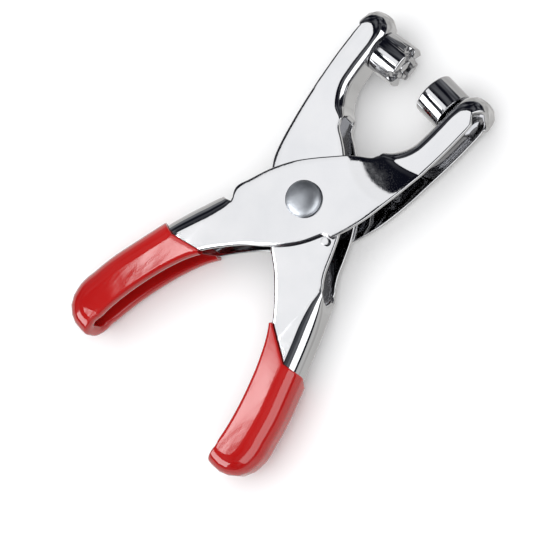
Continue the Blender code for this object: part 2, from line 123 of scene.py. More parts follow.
# Mesh fineness
ROW_STEP = 0.7
PLATE_COLUMNS = 12
BEND_COLUMNS = 8
WEB_COLUMNS = 10
ROUND = 128  # sides of a turned piece
EDGE_STEPS = 5
LIP_STEPS = 8
CORNER_STEPS = 4
DOME_STEPS = 24
PETAL_STEPS = 3
COIL_STEPS = 64  # to a turn
LEG_STEPS = 16
WIRE_SIDES = 16
SMOOTH_DEGREES = 50.0  # edges that turn more than this are shaded as corners
NEARLY = 1e-6  # lengths this close are the same
TANGENT_REACH = 0.05  # how far to each side of a point its edge's direction is taken
HALVINGS = 40  # in the search for where a spring leg meets its handle's web

# Rounding of edges and corners
EDGE_ROUND = 0.36  # radius left on the sheared edges of the sheet
INSET_FADE = 2.0  # length over which a plate's edge moves in for that, past the web's end
AXIS_RADIUS = 0.05  # where a turned profile starts and ends, beside its axis
RIVET_ROUND = 0.2
DIE_ROUND = 0.25
CORNER_SHARE = 0.45  # the most of a side's length that the rounding of one of its corners takes
PIP_ROUND = 0.15
PETAL_ROUND = 0.18  # on the edges that the crown die's notches leave
SLIVER = 0.04  # vertices closer than this are merged before those edges are rounded
SHARP_ANGLE = 0.9  # radians
WIRE_END_REACH = 0.9  # how far the wire's ends stand past its middle line, in wire radii
WIRE_END_SHARE = 0.4  # and their radius there, in wire radii

# Room left inside the outside box of the plainer pieces that these replace
COAT_EASE = 0.12  # how much thinner the smooth coat is
HEAD_EASE = 0.06  # how much lower the rivet's smooth dome is

# Camera
CAMERA_SIDE = (0.677, 0.648, -0.350)
CAMERA_UP = (-0.640, 0.753, 0.156)
CAMERA_BACK = (0.364, 0.118, 0.924)
CAMERA_DISTANCE = 560.0
CAMERA_VIEW_DEGREES = 14.95
AIM_LEFT = 7.6  # how far left of the rivet, and below it, the middle of the view is
AIM_DOWN = 20.4

# Floor and light, in metres
FLOOR_SIZE = 6.0
FLOOR_LEVEL = -0.0002
SOFT_BOXES = (  # name, middle, width and length, brightness
    ("main", (-0.235, -0.0425, 0.62), (0.23, 0.215), 1.42),
    ("grips", (-0.23, -0.199, 0.62), (0.12, 0.088), 7.0),
    ("side", (0.67, 0.06, 0.52), (1.1, 0.65), 2.2),
    ("front", (-0.3, -1.25, 0.75), (1.4, 0.8), 4.5),
    ("fill", (0.0, 0.0, 2.2), (6.0, 6.0), 1.75),
)
OVERHEAD = ("main", "grips", "fill")  # these face straight down, and the others face the pliers
# Shades of the room, as (where in its patches, colour)
DARK_SKY = ((0.42, (0.006, 0.007, 0.014)), (0.68, (0.22, 0.225, 0.24)))
PALE_GROUND = ((0.35, (0.6, 0.59, 0.57)), (0.7, (0.85, 0.84, 0.82)))
HORIZON = 0.03  # how far above and below eye level the ground gives way to the sky

# Each row across a lever: the plate's edge on the web side, its free edge, how far the row sags
# between them, and the outer radius of the bend from plate to web. Rows run from the handle's end
# to the jaw's tip.
COMMON_ROWS = (
    ((-21.9, -66.6), (-21.4, -65.4), 0.0, 4.2),
    ((-24.2, -66.8), (-21.4, -64.6), 0.0, 4.2),
    ((-26.2, -65.8), (-21.35, -63.8), 0.0, 4.2),
    ((-26.9, -63.4), (-21.3, -62.6), 0.0, 4.3),
    ((-26.5, -58.0), (-20.9, -58.5), 0.0, 4.3),
    ((-25.5, -51.5), (-19.9, -52.5), 0.0, 4.3),
    ((-23.9, -45.0), (-18.5, -46.5), 0.0, 4.3),
    ((-22.2, -38.5), (-16.7, -40.5), 0.0, 4.3),
    ((-20.6, -32.5), (-14.3, -34.5), 0.0, 4.3),
    ((-18.9, -26.5), (-11.2, -29.3), 0.0, 4.2),
    ((-18.0, -21.0), (-7.4, -24.3), 0.0, 3.1),
    ((-17.9, -16.2), (-3.6, -20.0), 0.0, 1.3),
    ((-16.5, -12.0), (0.3, -16.6), 0.0, 2.6),
    ((-15.3, -7.2), (4.6, -12.6), 0.0, 2.6),
    ((-13.2, -1.3), (8.1, -8.1), 0.0, 2.6),
    ((-10.4, 4.0), (10.6, -2.9), 0.0, 2.6),
    ((-9.5, 5.4), (13.1, -1.8), 0.0, 2.6),
    ((-6.1, 9.7), (14.9, 3.4), 0.0, 2.4),
    ((-2.8, 13.4), (16.2, 8.6), 1.2, 2.3),
    ((0.0, 16.4), (17.0, 14.0), 2.4, 2.3),
    ((2.6, 18.5), (17.5, 18.2), 2.0, 2.3),
    ((5.0, 20.3), (17.8, 21.4), 1.4, 2.3),
    ((6.5, 22.4), (18.0, 24.2), 0.8, 1.3),
    ((9.8, 24.2), (18.2, 26.8), 0.3, 2.6),
    ((11.9, 27.1), (18.3, 29.4), 0.0, 2.8),
    ((13.1, 30.5), (18.4, 32.0), 0.0, 2.8),
    ((13.4, 34.5), (18.5, 35.0), 0.0, 2.8),
    ((13.4, 39.5), (18.5, 39.0), 0.0, 2.8),
    ((13.4, 44.0), (18.4, 41.5), 0.0, 2.8),
    ((14.3, 46.9), (18.3, 43.5), 0.0, 4.1),
    ((15.5, 47.8), (18.15, 44.6), 0.0, 4.4),
    ((16.5, 47.5), (18.0, 45.2), 0.0, 3.7),
    ((17.2, 46.9), (17.9, 45.5), 0.0, 2.6),
    ((17.7, 46.3), (17.86, 45.6), 0.0, 1.7),
    ((17.85, 45.7), (17.84, 45.65), 0.0, 1.3),
)
HANDLE_WEB_ROW = 11  # the web runs from the handle's end to here
JAW_WEB_ROW = 22  # and from here round the jaw's tip
STEP_ROWS = (15, 16)  # the stop shoulder's two corners on the outer lever's free edge
NO_STEP_SHARES = (0.42, 0.55)  # where those rows lie on the inner lever, which has no shoulder
CREASE_ROW = 19  # where the outer lever's plates start to close in towards the jaw
JAW_WIDTH_ROW = 23
HANDLE_WIDTH_ROWS = (2, 8)  # between these the outer lever's handle narrows, under its grip
WIDER_BENDS = {9: 0.5, 10: 1.5, 11: 2.3}  # added to the outer lever's bend near its web's end
WEB_END_MOVES = {11: (0.15, 0.9), 12: (-0.4, 0.5)}  # how far right and up its edge is moved there
NOTCH_DEPTH = {"handle": 4.2, "jaw": 1.4}
NOTCH_FADE = 8.0
TIP_ROW = 28  # past here the jaw's tip is cut back
TIP_CUTS = {"outer": (1.9, 0.0), "inner": (0.0, 1.6)}  # by so much at its front and at its rear
GRIP_ROWS = {"outer": (7.9, 8.75), "inner": (7.15, 8.65)}  # each coat's start: web side, free edge
GRIP_LEAN = 5.0  # how much lower the coat starts on the rear plate's web side than on the front's
GRIP_SKEW_FROM_ROW = 4  # below here the coat's rows lie as the lever's do
SQUARE = (0.0, 0.0)  # a row with no skew and no lean
EDGE_X, EDGE_Y, FREE_X, FREE_Y, SAG, BEND, HALF = range(7)  # the columns of a flat row


def smoothstep(value):
    held = min(1.0, max(0.0, value))
    return held * held * (3.0 - 2.0 * held)


def lever_rows(outer):
    """The common outline with one lever's splay, width and stop shoulder, as flat rows."""
    side = 1.0 if outer else -1.0
    rows = []
    for index, (edge, free, sag, radius) in enumerate(COMMON_ROWS):
        row = []
        for x, y in (edge, free):
            row += [x + side * SPLAY * smoothstep((-y - SPLAY_FROM) / SPLAY_OVER), y]
        rows.append(row + [sag, radius, half_width(index) if outer else INNER_HALF])
    if outer:
        for index, wider in WIDER_BENDS.items():
            rows[index][EDGE_X] += wider
            rows[index][BEND] += wider
        for index, (right, up) in WEB_END_MOVES.items():
            rows[index][EDGE_X] += right
            rows[index][EDGE_Y] += up
    else:
        first, second = STEP_ROWS
        below, above = rows[first - 1], rows[second + 1]
        for index, share in zip((first, second), NO_STEP_SHARES):
            for column in (FREE_X, FREE_Y):
                rows[index][column] = below[column] + share * (above[column] - below[column])
    return rows


def half_width(index):
    """Half of the outer lever's width at a row: most at the rivet, closing in on both sides."""
    if index <= HANDLE_WEB_ROW:
        low, high = HANDLE_WIDTH_ROWS
        share = (index - low) / (high - low)
        return INNER_HALF + (PIVOT_HALF - INNER_HALF) * min(1.0, max(0.0, share))
    share = (index - CREASE_ROW) / (JAW_WIDTH_ROW - CREASE_ROW)
    return PIVOT_HALF + (OUTER_JAW_HALF - PIVOT_HALF) * min(1.0, max(0.0, share))


class Outline:
    """A lever's rows as smooth curves along its length, in millimetres from row 0."""

    SHARP = (FREE_X, FREE_Y)  # these keep the stop shoulder's corners
    STRAIGHT = (HALF,)  # its creases stay sharp

    def __init__(self, outer):
        self.rows = lever_rows(outer)
        self.corners = STEP_ROWS if outer else ()
        self.tip_cuts = TIP_CUTS["outer" if outer else "inner"]
        self.grip_rows = GRIP_ROWS["outer" if outer else "inner"]
        self.at_row = [0.0]
        for one, two in zip(self.rows, self.rows[1:]):
            spans = [math.dist(one[k : k + 2], two[k : k + 2]) for k in (EDGE_X, FREE_X)]
            self.at_row.append(self.at_row[-1] + sum(spans) / 2)

    def length_at(self, row):
        """Distance along the lever at a row, which may be a fraction of the way to the next one."""
        low = int(row)
        high = min(low + 1, len(self.at_row) - 1)
        return self.at_row[low] + (row - low) * (self.at_row[high] - self.at_row[low])

    def slope(self, index, column, segment):
        """Rate of change at a row, as the curve in that segment sees it."""
        spans = []
        for one in (index - 1, index):
            if not 0 <= one < len(self.rows) - 1:
                continue
            if column in self.SHARP and index in self.corners and one != segment:
                continue
            length = self.at_row[one + 1] - self.at_row[one]
            change = self.rows[one + 1][column] - self.rows[one][column]
            spans.append((length, change / length))
        if len(spans) == 1:
            return spans[0][1]
        (before, rate_before), (after, rate_after) = spans
        return (rate_before * after + rate_after * before) / (before + after)

    def at(self, length):
        """The flat row at a distance along the lever. Beyond its ends it carries on straight."""
        last = len(self.rows) - 2
        segment = next((i for i in range(last) if length < self.at_row[i + 1]), last)
        start = self.at_row[segment]
        span = self.at_row[segment + 1] - start
        u = (length - start) / span
        values = []
        for column, low in enumerate(self.rows[segment]):
            high = self.rows[segment + 1][column]
            if column in self.STRAIGHT:
                values.append(low + (high - low) * min(1.0, max(0.0, u)))
                continue
            rate_low = self.slope(segment, column, segment) * span
            rate_high = self.slope(segment + 1, column, segment) * span
            if u < 0.0:
                values.append(low + rate_low * u)
            elif u > 1.0:
                values.append(high + rate_high * (u - 1.0))
            else:
                swing = (1.0 - u) * rate_low - u * rate_high + (2.0 * u - 1.0) * (high - low)
                values.append(low + u * (high - low) + u * (1.0 - u) * swing)
        return values

    def edge_and_normal(self, length):
        """The web-side edge at a distance along the lever, and the way out of the lever there."""
        here = Vector(self.at(length)[:2])
        reach = TANGENT_REACH
        ahead = Vector(self.at(length + reach)[:2]) - Vector(self.at(length - reach)[:2])
        return here, Vector((-ahead.y, ahead.x)).normalized()

    def tip_cut(self, length, across):
        """How far the jaw's tip is cut back. across is 0 at the front plate and 1 at the rear."""
        start = self.length_at(TIP_ROW)
        share = smoothstep((length - start) / (self.at_row[-1] - start))
        front, rear = self.tip_cuts
        return share * (front + (rear - front) * across)

    def stations(self, step):
        """Distances along the lever, on every row and evenly between rows."""
        found = []
        for low, high in zip(self.at_row, self.at_row[1:]):
            count = max(1, round((high - low) / step))
            found += [low + (high - low) * k / count for k in range(count)]
        return found + [self.at_row[-1]]


def web_angles(radius, half):
    """(angle round, height of the centre) across the bends and the web, from front to rear."""
    reach = half - radius
    turns = [(math.pi / 2 * k / BEND_COLUMNS, reach) for k in range(1, BEND_COLUMNS + 1)]
    levels = [1.0 - 2.0 * k / WEB_COLUMNS for k in range(1, WEB_COLUMNS)]
    flat = [(math.pi / 2, reach * level) for level in levels]
    return turns + flat + [(math.pi - angle, -height) for angle, height in reversed(turns)]


class Surface:
    """The middle surface of a pressed channel: points with normals, and quads between them."""

    def __init__(self, outline, stations, skews, lip=0.0, web_gap=True):
        self.outline = outline
        self.points = []
        self.normals = []
        self.quads = []
        self.known = {}
        gap = (outline.length_at(HANDLE_WEB_ROW), outline.length_at(JAW_WEB_ROW))
        web_count = 2 * BEND_COLUMNS + WEB_COLUMNS - 1
        before = None
        for length, (skew, lean) in zip(stations, skews):
            front, rear = self.plates(length, skew, lean, lip, web_gap)
            if web_gap and gap[0] + NEARLY < length < gap[1] - NEARLY:
                web = [None] * web_count
            else:
                web = self.web(length - skew / 2, lean, web_count, gap if web_gap else None)
            row = list(reversed(front)) + web + rear
            if before:
                self.join(before, row)
            before = row
        self.last_row = before

    def row_at(self, length):
        key = round(length, 5)
        if key not in self.known:
            self.known[key] = (self.outline.at(length), *self.outline.edge_and_normal(length))
        return self.known[key]

    def put(self, point, normal):
        self.points.append(Vector(point))
        self.normals.append(Vector(normal))
        return len(self.points) - 1

    def edge_inset(self, length):
        """How far the plates' edges stand in where there is no web, to leave room for rounding."""
        low, high = (self.outline.length_at(row) for row in (HANDLE_WEB_ROW, JAW_WEB_ROW))
        return EDGE_ROUND * smoothstep(min(length - low, high - length) / INSET_FADE)

    def plates(self, length, skew, lean, lip, web_gap):
        """The front and rear plates' points, with lip added past their free edges."""
        half = self.row_at(length)[0][HALF]
        inset = self.edge_inset(length) if web_gap else 0.0
        rows = []
        for across, side in enumerate((1.0, -1.0)):
            cut = self.outline.tip_cut(length, across)
            row = self.row_at(length - skew / 2 - lean * across - cut)[0]
            edge = Vector(row[:2])
            free = Vector(self.row_at(length + skew / 2 - cut)[0][FREE_X:SAG])
            free += (free - edge).normalized() * lip
            edge += (free - edge).normalized() * inset
            made = []
            for k in range(PLATE_COLUMNS + 1):
                u = k / PLATE_COLUMNS
                flat = edge.lerp(free, u)
                flat.y -= row[SAG] * 4.0 * u * (1.0 - u)
                made.append(self.put((*flat, side * (half - SHEET / 2)), (0.0, 0.0, side)))
            rows.append(made)
        return rows

    def web(self, length, lean, count, gap):
        """The points round both bends and the web, whose two ends are cut out in a curve."""
        made = []
        for k in range(count):
            across = (k + 1) / (count + 1)
            inwards = 1.0 - abs(2.0 * across - 1.0)
            along = length - lean * across - self.outline.tip_cut(length, across)
            if gap and length <= gap[0] + NEARLY:
                fade = max(0.0, 1.0 - (gap[0] - length) / NOTCH_FADE)
                along -= NOTCH_DEPTH["handle"] * inwards * fade
            elif gap:
                fade = max(0.0, 1.0 - (length - gap[1]) / NOTCH_FADE)
                along += NOTCH_DEPTH["jaw"] * inwards * fade
            row, corner, out = self.row_at(along)
            angle, height = web_angles(row[BEND], row[HALF])[k]
            normal = Vector((*(out * math.sin(angle)), math.cos(angle)))
            centre = Vector((*corner, height))
            made.append(self.put(centre + normal * (row[BEND] - SHEET / 2), normal))
        return made

    def join(self, here, there):
        for k in range(len(here) - 1):
            quad = (here[k], here[k + 1], there[k + 1], there[k])
            if None not in quad:
                self.quads.append(quad)

    def rim(self):
        """The open edges, as (a, b) the way round that the quads run."""
        sides = {(quad[k], quad[(k + 1) % 4]) for quad in self.quads for k in range(4)}
        return [(a, b) for a, b in sorted(sides) if (b, a) not in sides]

    def thickened(self, thick, profile):
        """A closed solid. profile is (reach, level) round its edge, with level from +1 to -1."""
        count = len(self.points)
        half = thick / 2
        points = [p + n * half for p, n in zip(self.points, self.normals)]
        points += [p - n * half for p, n in zip(self.points, self.normals)]
        faces = list(self.quads)
        faces += [tuple(i + count for i in reversed(quad)) for quad in self.quads]
        rim = self.rim()
        chain = {}
        for index, aside in outwards(self, rim).items():
            column = [index]
            for reach, level in profile:
                column.append(len(points))
                offset = aside * reach + self.normals[index] * level * half
                points.append(self.points[index] + offset)
            chain[index] = column + [index + count]
        return points, faces + strips(rim, chain)


def strips(edges, chains):
    """Quads along these edges, between the chains of points that start at their two ends."""
    return [
        (two, one, four, three)
        for a, b in edges
        for one, two, three, four in zip(chains[a], chains[b], chains[b][1:], chains[a][1:])
    ]


def outwards(surface, edges):
    """For each point on these open edges, the way out of the sheet in its own plane."""
    found = {}
    for a, b in edges:
        along = (surface.points[b] - surface.points[a]).normalized()
        for index in (a, b):
            aside = surface.normals[index].cross(along)
            found[index] = found.get(index, Vector()) + aside
    return {index: aside.normalized() for index, aside in found.items()}


def jacket(surface, thick, room, bulge):
    """A closed coat, thick over all, with room for the sheet inside and a mouth at its last row."""
    count = len(surface.points)
    points = []
    for level in (thick / 2, -thick / 2, room / 2, -room / 2):
        points += [p + n * level for p, n in zip(surface.points, surface.normals)]
    faces = []
    for skin, flip in enumerate((False, True, True, False)):
        for quad in surface.quads:
            order = reversed(quad) if flip else quad
            faces.append(tuple(index + skin * count for index in order))
    mouth = set(surface.last_row)
    rim = surface.rim()
    lips = [(a, b) for a, b in rim if a in mouth and b in mouth]
    sides = [edge for edge in rim if edge not in set(lips)]

    def chain(start, end, index, aside, profile):
        column = [start * count + index]
        for reach, level in profile:
            column.append(len(points))
            points.append(surface.points[index] + aside * reach + surface.normals[index] * level)
        return column + [end * count + index]

    turns = [math.pi * k / LIP_STEPS for k in range(1, LIP_STEPS)]
    side_profile = [(bulge * math.sin(a), math.cos(a) * thick / 2) for a in turns]
    middle, radius = (thick + room) / 4, (thick - room) / 4
    lip_profile = [(radius * math.sin(a), middle + radius * math.cos(a)) for a in turns]
    under_profile = [(reach, -level) for reach, level in lip_profile]
    out_of_sides = outwards(surface, sides)
    out_of_mouth = outwards(surface, lips)
    outer = {i: chain(0, 1, i, aside, side_profile) for i, aside in out_of_sides.items()}
    inner = {i: [2 * count + i, 3 * count + i] for i in out_of_sides}
    upper = {i: chain(0, 2, i, aside, lip_profile) for i, aside in out_of_mouth.items()}
    lower = {i: chain(1, 3, i, aside, under_profile) for i, aside in out_of_mouth.items()}
    for edges, chains in ((sides, outer), (sides, inner), (lips, upper), (lips, lower)):
        faces += strips(edges, chains)
    for corner in sorted(set(outer) & set(upper)):
        faces.append(tuple(outer[corner] + lower[corner][1:] + list(reversed(upper[corner]))[:-1]))
    return points, faces


def edge_profile(thick):
    """A sheared sheet edge with a small radius on each side."""
    shrink = EDGE_ROUND / (thick / 2)
    turns = [math.pi / 2 * k / EDGE_STEPS for k in range(1, EDGE_STEPS + 1)]
    upper = [(EDGE_ROUND * math.sin(a), 1.0 - shrink * (1.0 - math.cos(a))) for a in turns]
    return upper + [(reach, -level) for reach, level in reversed(upper)]


def ring_faces(rings, sides):
    """Faces that join rings of points in order, and close the first ring and the last."""
    faces = []
    for ring in range(rings - 1):
        here, there = ring * sides, (ring + 1) * sides
        for k in range(sides):
            ahead = (k + 1) % sides
            faces.append((here + k, here + ahead, there + ahead, there + k))
    faces.append(tuple(range(sides)))
    faces.append(tuple((rings - 1) * sides + k for k in range(sides)))
    return faces


def turned(profile):
    """A solid of revolution about Z as (points, faces) from (radius, height) pairs."""
    points = []
    for radius, height in profile:
        for k in range(ROUND):
            angle = 2.0 * math.pi * k / ROUND
            points.append(Vector((radius * math.cos(angle), radius * math.sin(angle), height)))
    return points, ring_faces(len(profile), ROUND)


def shade(mesh):
    mesh.shade_smooth()
    mesh.set_sharp_from_angle(angle=math.radians(SMOOTH_DEGREES))


def make(name, shape, place, mirrored=False):
    """An object at a place from (points, faces) in millimetres, with its faces turned outwards."""
    points, faces = shape
    if mirrored:
        points = [Vector((-p.x, p.y, p.z)) for p in points]
    mesh = bpy.data.meshes.new(name)
    mesh.from_pydata([tuple(place @ point * MM) for point in points], [], faces)
    build = bmesh.new()
    build.from_mesh(mesh)
    bmesh.ops.recalc_face_normals(build, faces=build.faces)
    build.to_mesh(mesh)
    build.free()
    shade(mesh)
    made = bpy.data.objects.new(name, mesh)
    bpy.context.scene.collection.objects.link(made)
    return made


def boolean(target, shape, place, mirrored, operation):
    """Cuts or joins a shape and keeps the result, so no helper stays in the scene."""
    other = make(target.name + "_helper", shape, place, mirrored)
    modifier = target.modifiers.new("boolean", "BOOLEAN")
    modifier.operation = operation
    modifier.solver = "EXACT"
    modifier.object = other
    bpy.context.view_layer.update()
    graph = bpy.context.evaluated_depsgraph_get()
    mesh = bpy.data.meshes.new_from_object(target.evaluated_get(graph))
    target.modifiers.clear()
    old = target.data
    target.data = mesh
    bpy.data.meshes.remove(old)
    bpy.data.objects.remove(other, do_unlink=True)
    shade(mesh)


def arm_place(side):
    """From a lever's own frame to the tool's. side is +1 for the outer lever, -1 for the inner."""
    lift = Matrix.Translation((0.0, 0.0, MIDDLE_Z))
    return lift @ Matrix.Rotation(math.radians(-side * OPEN_TURN / 2), 4, "Z")


def along_x(x):
    """A turned piece's place on the dies' axis: its own axis points along +X, and starts at x."""
    return Matrix.Translation((x, DIE_AXIS_Y, 0.0)) @ Matrix.Rotation(math.pi / 2, 4, "Y")


def moved(shape, place):
    points, faces = shape
    return [place @ point for point in points], faces


def rod(radius, low, high):
    return turned(((radius, low), (radius, high)))


def rounded(profile, radius):
    """A profile of (radius, height) pairs with its corners rounded."""
    made = []
    for index, (x, y) in enumerate(profile):
        here = Vector((x, y))
        if index in (0, len(profile) - 1):
            made.append((x, y))
            continue
        before = Vector(profile[index - 1]) - here
        after = Vector(profile[index + 1]) - here
        reach = min(radius, before.length * CORNER_SHARE, after.length * CORNER_SHARE)
        one = here + before.normalized() * reach
        two = here + after.normalized() * reach
        for k in range(CORNER_STEPS + 1):
            t = k / CORNER_STEPS
            spot = one * (1 - t) ** 2 + here * 2 * t * (1 - t) + two * t**2
            made.append((spot.x, spot.y))
    return made


# Materials


class Nodes:
    """The nodes of a material or of the world, added from left to right."""

    def __init__(self, owner, shader="Principled BSDF", coordinates="Object"):
        owner.use_nodes = True
        self.owner = owner
        self.tree = owner.node_tree
        self.shader = self.tree.nodes[shader]
        self.place = self.add("ShaderNodeTexCoord").outputs[coordinates]

    def add(self, kind, **values):
        node = self.tree.nodes.new(kind)
        for key, value in values.items():
            setattr(node, key, value)
        return node

    def link(self, output, socket):
        self.tree.links.new(output, socket)

    def noise(self, scale, detail, roughness, stretch=None):
        node = self.add("ShaderNodeTexNoise")
        node.inputs["Scale"].default_value = scale
        node.inputs["Detail"].default_value = detail
        node.inputs["Roughness"].default_value = roughness
        source = self.place
        if stretch:
            size, turn = stretch
            mapping = self.add("ShaderNodeMapping")
            mapping.inputs["Scale"].default_value = size
            mapping.inputs["Rotation"].default_value = turn
            self.link(source, mapping.inputs["Vector"])
            source = mapping.outputs["Vector"]
        self.link(source, node.inputs["Vector"])
        return node.outputs["Fac"]

    def mapped(self, value, low, high, to_low, to_high):
        node = self.add("ShaderNodeMapRange")
        names = ("From Min", "From Max", "To Min", "To Max")
        for name, number in zip(names, (low, high, to_low, to_high)):
            node.inputs[name].default_value = number
        self.link(value, node.inputs["Value"])
        return node.outputs["Result"]

    def ramp(self, value, stops):
        node = self.add("ShaderNodeValToRGB")
        elements = node.color_ramp.elements
        while len(elements) < len(stops):
            elements.new(0.5)
        for element, (position, colour) in zip(elements, stops):
            element.position = position
            element.color = (*colour, 1.0)
        self.link(value, node.inputs["Fac"])
        return node.outputs["Color"]

    def sum(self, first, *others):
        for other in others:
            node = self.add("ShaderNodeMath", operation="ADD")
            self.link(first, node.inputs[0])
            self.link(other, node.inputs[1])
            first = node.outputs["Value"]
        return first

    def bump(self, height, distance, strength, under=None):
        node = self.add("ShaderNodeBump")
        node.inputs["Distance"].default_value = distance
        node.inputs["Strength"].default_value = strength
        self.link(height, node.inputs["Height"])
        if under:
            self.link(under, node.inputs["Normal"])
        return node.outputs["Normal"]


def scratches(nodes, scale, turn):
    """Thin, faint lines in one direction: 1 on a line and 0 elsewhere."""
    value = nodes.noise(scale, 2.0, 0.5, stretch=((1.0, 0.025, 1.0), (0.0, 0.0, turn)))
    return nodes.mapped(value, 0.66, 0.74, 0.0, 1.0)


def chrome(name, bright, dull, tint):
    """Bright plate: hairline scratches, finger film that dulls it in patches, and slight waves."""
    nodes = Nodes(bpy.data.materials.new(name))
    nodes.shader.inputs["Metallic"].default_value = 1.0
    film = nodes.noise(70.0, 5.0, 0.6)
    grain = nodes.noise(900.0, 4.0, 0.6)
    lines = nodes.sum(scratches(nodes, 420.0, 0.5), scratches(nodes, 350.0, -0.9))
    colour = nodes.ramp(film, ((0.3, tint[0]), (0.75, tint[1])))
    nodes.link(colour, nodes.shader.inputs["Base Color"])
    patches = nodes.mapped(film, 0.42, 0.75, bright, dull)
    speckle = nodes.mapped(grain, 0.35, 0.8, 0.0, 0.015)
    hair = nodes.mapped(lines, 0.0, 1.0, 0.0, 0.05)
    nodes.link(nodes.sum(patches, speckle, hair), nodes.shader.inputs["Roughness"])
    waves = nodes.bump(nodes.noise(55.0, 1.0, 0.4), 0.00025, 0.5)
    skin = nodes.bump(grain, 0.000012, 0.35, waves)
    cuts = nodes.bump(lines, 0.00001, 0.25, skin)
    nodes.link(cuts, nodes.shader.inputs["Normal"])
    return nodes.owner


def satin_steel(name, dark, light, low, high):
    """Plain steel, dulled by the setting tool, with fine pitting."""
    nodes = Nodes(bpy.data.materials.new(name))
    nodes.shader.inputs["Metallic"].default_value = 1.0
    cloud = nodes.noise(260.0, 5.0, 0.6)
    pits = nodes.noise(2600.0, 3.0, 0.6)
    nodes.link(nodes.ramp(cloud, ((0.3, dark), (0.7, light))), nodes.shader.inputs["Base Color"])
    nodes.link(nodes.mapped(cloud, 0.3, 0.75, low, high), nodes.shader.inputs["Roughness"])
    dents = nodes.bump(cloud, 0.00012, 0.4)
    nodes.link(nodes.bump(pits, 0.00002, 0.5, dents), nodes.shader.inputs["Normal"])
    return nodes.owner


def vinyl(name):
    """Dipped coat: deep red and glossy, with slow runs in its thickness and light scuffs."""
    nodes = Nodes(bpy.data.materials.new(name))
    runs = nodes.noise(110.0, 2.0, 0.45, stretch=((1.0, 0.45, 1.0), (0.0, 0.0, 0.3)))
    depth = nodes.noise(45.0, 3.0, 0.5)
    scuffs = nodes.sum(scratches(nodes, 300.0, 0.35), scratches(nodes, 240.0, -0.6))
    peel = nodes.noise(1500.0, 2.0, 0.5)
    reds = ((0.25, (0.37, 0.006, 0.006)), (0.5, (0.42, 0.009, 0.008)), (0.8, (0.46, 0.012, 0.011)))
    nodes.link(nodes.ramp(depth, reds), nodes.shader.inputs["Base Color"])
    base = nodes.mapped(depth, 0.3, 0.75, 0.07, 0.12)
    marks = nodes.mapped(scuffs, 0.0, 1.0, 0.0, 0.12)
    nodes.link(nodes.sum(base, marks), nodes.shader.inputs["Roughness"])
    nodes.shader.inputs["IOR"].default_value = 1.53
    nodes.shader.inputs["Coat Weight"].default_value = 0.4
    nodes.shader.inputs["Coat Roughness"].default_value = 0.05
    swell = nodes.bump(runs, 0.0006, 0.35)
    skin = nodes.bump(peel, 0.00002, 0.3, swell)
    nodes.link(nodes.bump(scuffs, 0.00002, 0.3, skin), nodes.shader.inputs["Normal"])
    return nodes.owner


def matt_floor():
    nodes = Nodes(bpy.data.materials.new("pale_floor"))
    greys = ((0.3, (0.9, 0.9, 0.9)), (0.7, (0.92, 0.92, 0.92)))
    nodes.link(nodes.ramp(nodes.noise(3.0, 2.0, 0.5), greys), nodes.shader.inputs["Base Color"])
    nodes.shader.inputs["Roughness"].default_value = 0.9
    return nodes.owner


# Pieces


def finish(piece, body, node, material):
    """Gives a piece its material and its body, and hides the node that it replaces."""
    piece.data.materials.clear()
    piece.data.materials.append(material)
    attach(piece, body)
    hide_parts(node)


def make_lever(name, outline, side):
    stations = outline.stations(ROW_STEP)
    surface = Surface(outline, stations, [SQUARE] * len(stations), lip=-EDGE_ROUND)
    mirrored = side < 0.0
    place = arm_place(side)
    lever = make(name, surface.thickened(SHEET, edge_profile(SHEET)), place, mirrored)
    through = 2.0 * PIVOT_HALF
    pivot_hole = rod(HOLE_RADIUS, -through, through)
    die_hole = moved(rod(DIE_SHANK_RADIUS + RUNNING_GAP, 0.0, 3.0 * SHEET), along_x(WEB_X - SHEET))
    for hole in (pivot_hole, die_hole):
        boolean(lever, hole, place, mirrored, "DIFFERENCE")
    return lever


def add_pip(lever):
    """The stop pip, joined to the inner lever's front plate."""
    turn = Matrix.Rotation(math.radians(-OPEN_TURN), 3, "Z")
    centre = turn @ Vector((*PIP_CENTRE, INNER_HALF - SHEET / 2))
    rise = SHEET / 2 + PIP_HEIGHT
    flat = PIP_RADIUS - PIP_ROUND
    shape = [(PIP_RADIUS, 0.0)]
    for k in range(DOME_STEPS):
        angle = math.pi / 2 * k / DOME_STEPS
        level = rise - PIP_ROUND * (1.0 - math.sin(angle))
        shape.append((flat + PIP_ROUND * math.cos(angle), level))
    pip = moved(turned(shape), Matrix.Translation(centre))
    boolean(lever, pip, arm_place(-1.0), False, "UNION")


def make_grip(name, outline, side):
    """The dipped coat over the handle, with full round lips, and hollow where the steel goes in."""
    start_web, start_free = (outline.length_at(row) for row in outline.grip_rows)
    skew_from = outline.length_at(GRIP_SKEW_FROM_ROW)
    top = (start_web + start_free) / 2 - COAT / 2
    below = [length for length in outline.stations(ROW_STEP) if length < top - ROW_STEP / 2]
    stations = [-COAT_SEAT] + below + [top]
    shares = [smoothstep((length - skew_from) / (top - skew_from)) for length in stations]
    skews = [((start_free - start_web) * share, GRIP_LEAN * share) for share in shares]
    surface = Surface(outline, stations, skews, lip=COAT_SEAT, web_gap=False)
    thick = SHEET + 2.0 * (COAT - COAT_EASE)
    shape = jacket(surface, thick, SHEET + 2.0 * COAT_SEAT, COAT - COAT_SEAT - COAT_EASE)
    return make(name, shape, arm_place(side), side < 0.0)


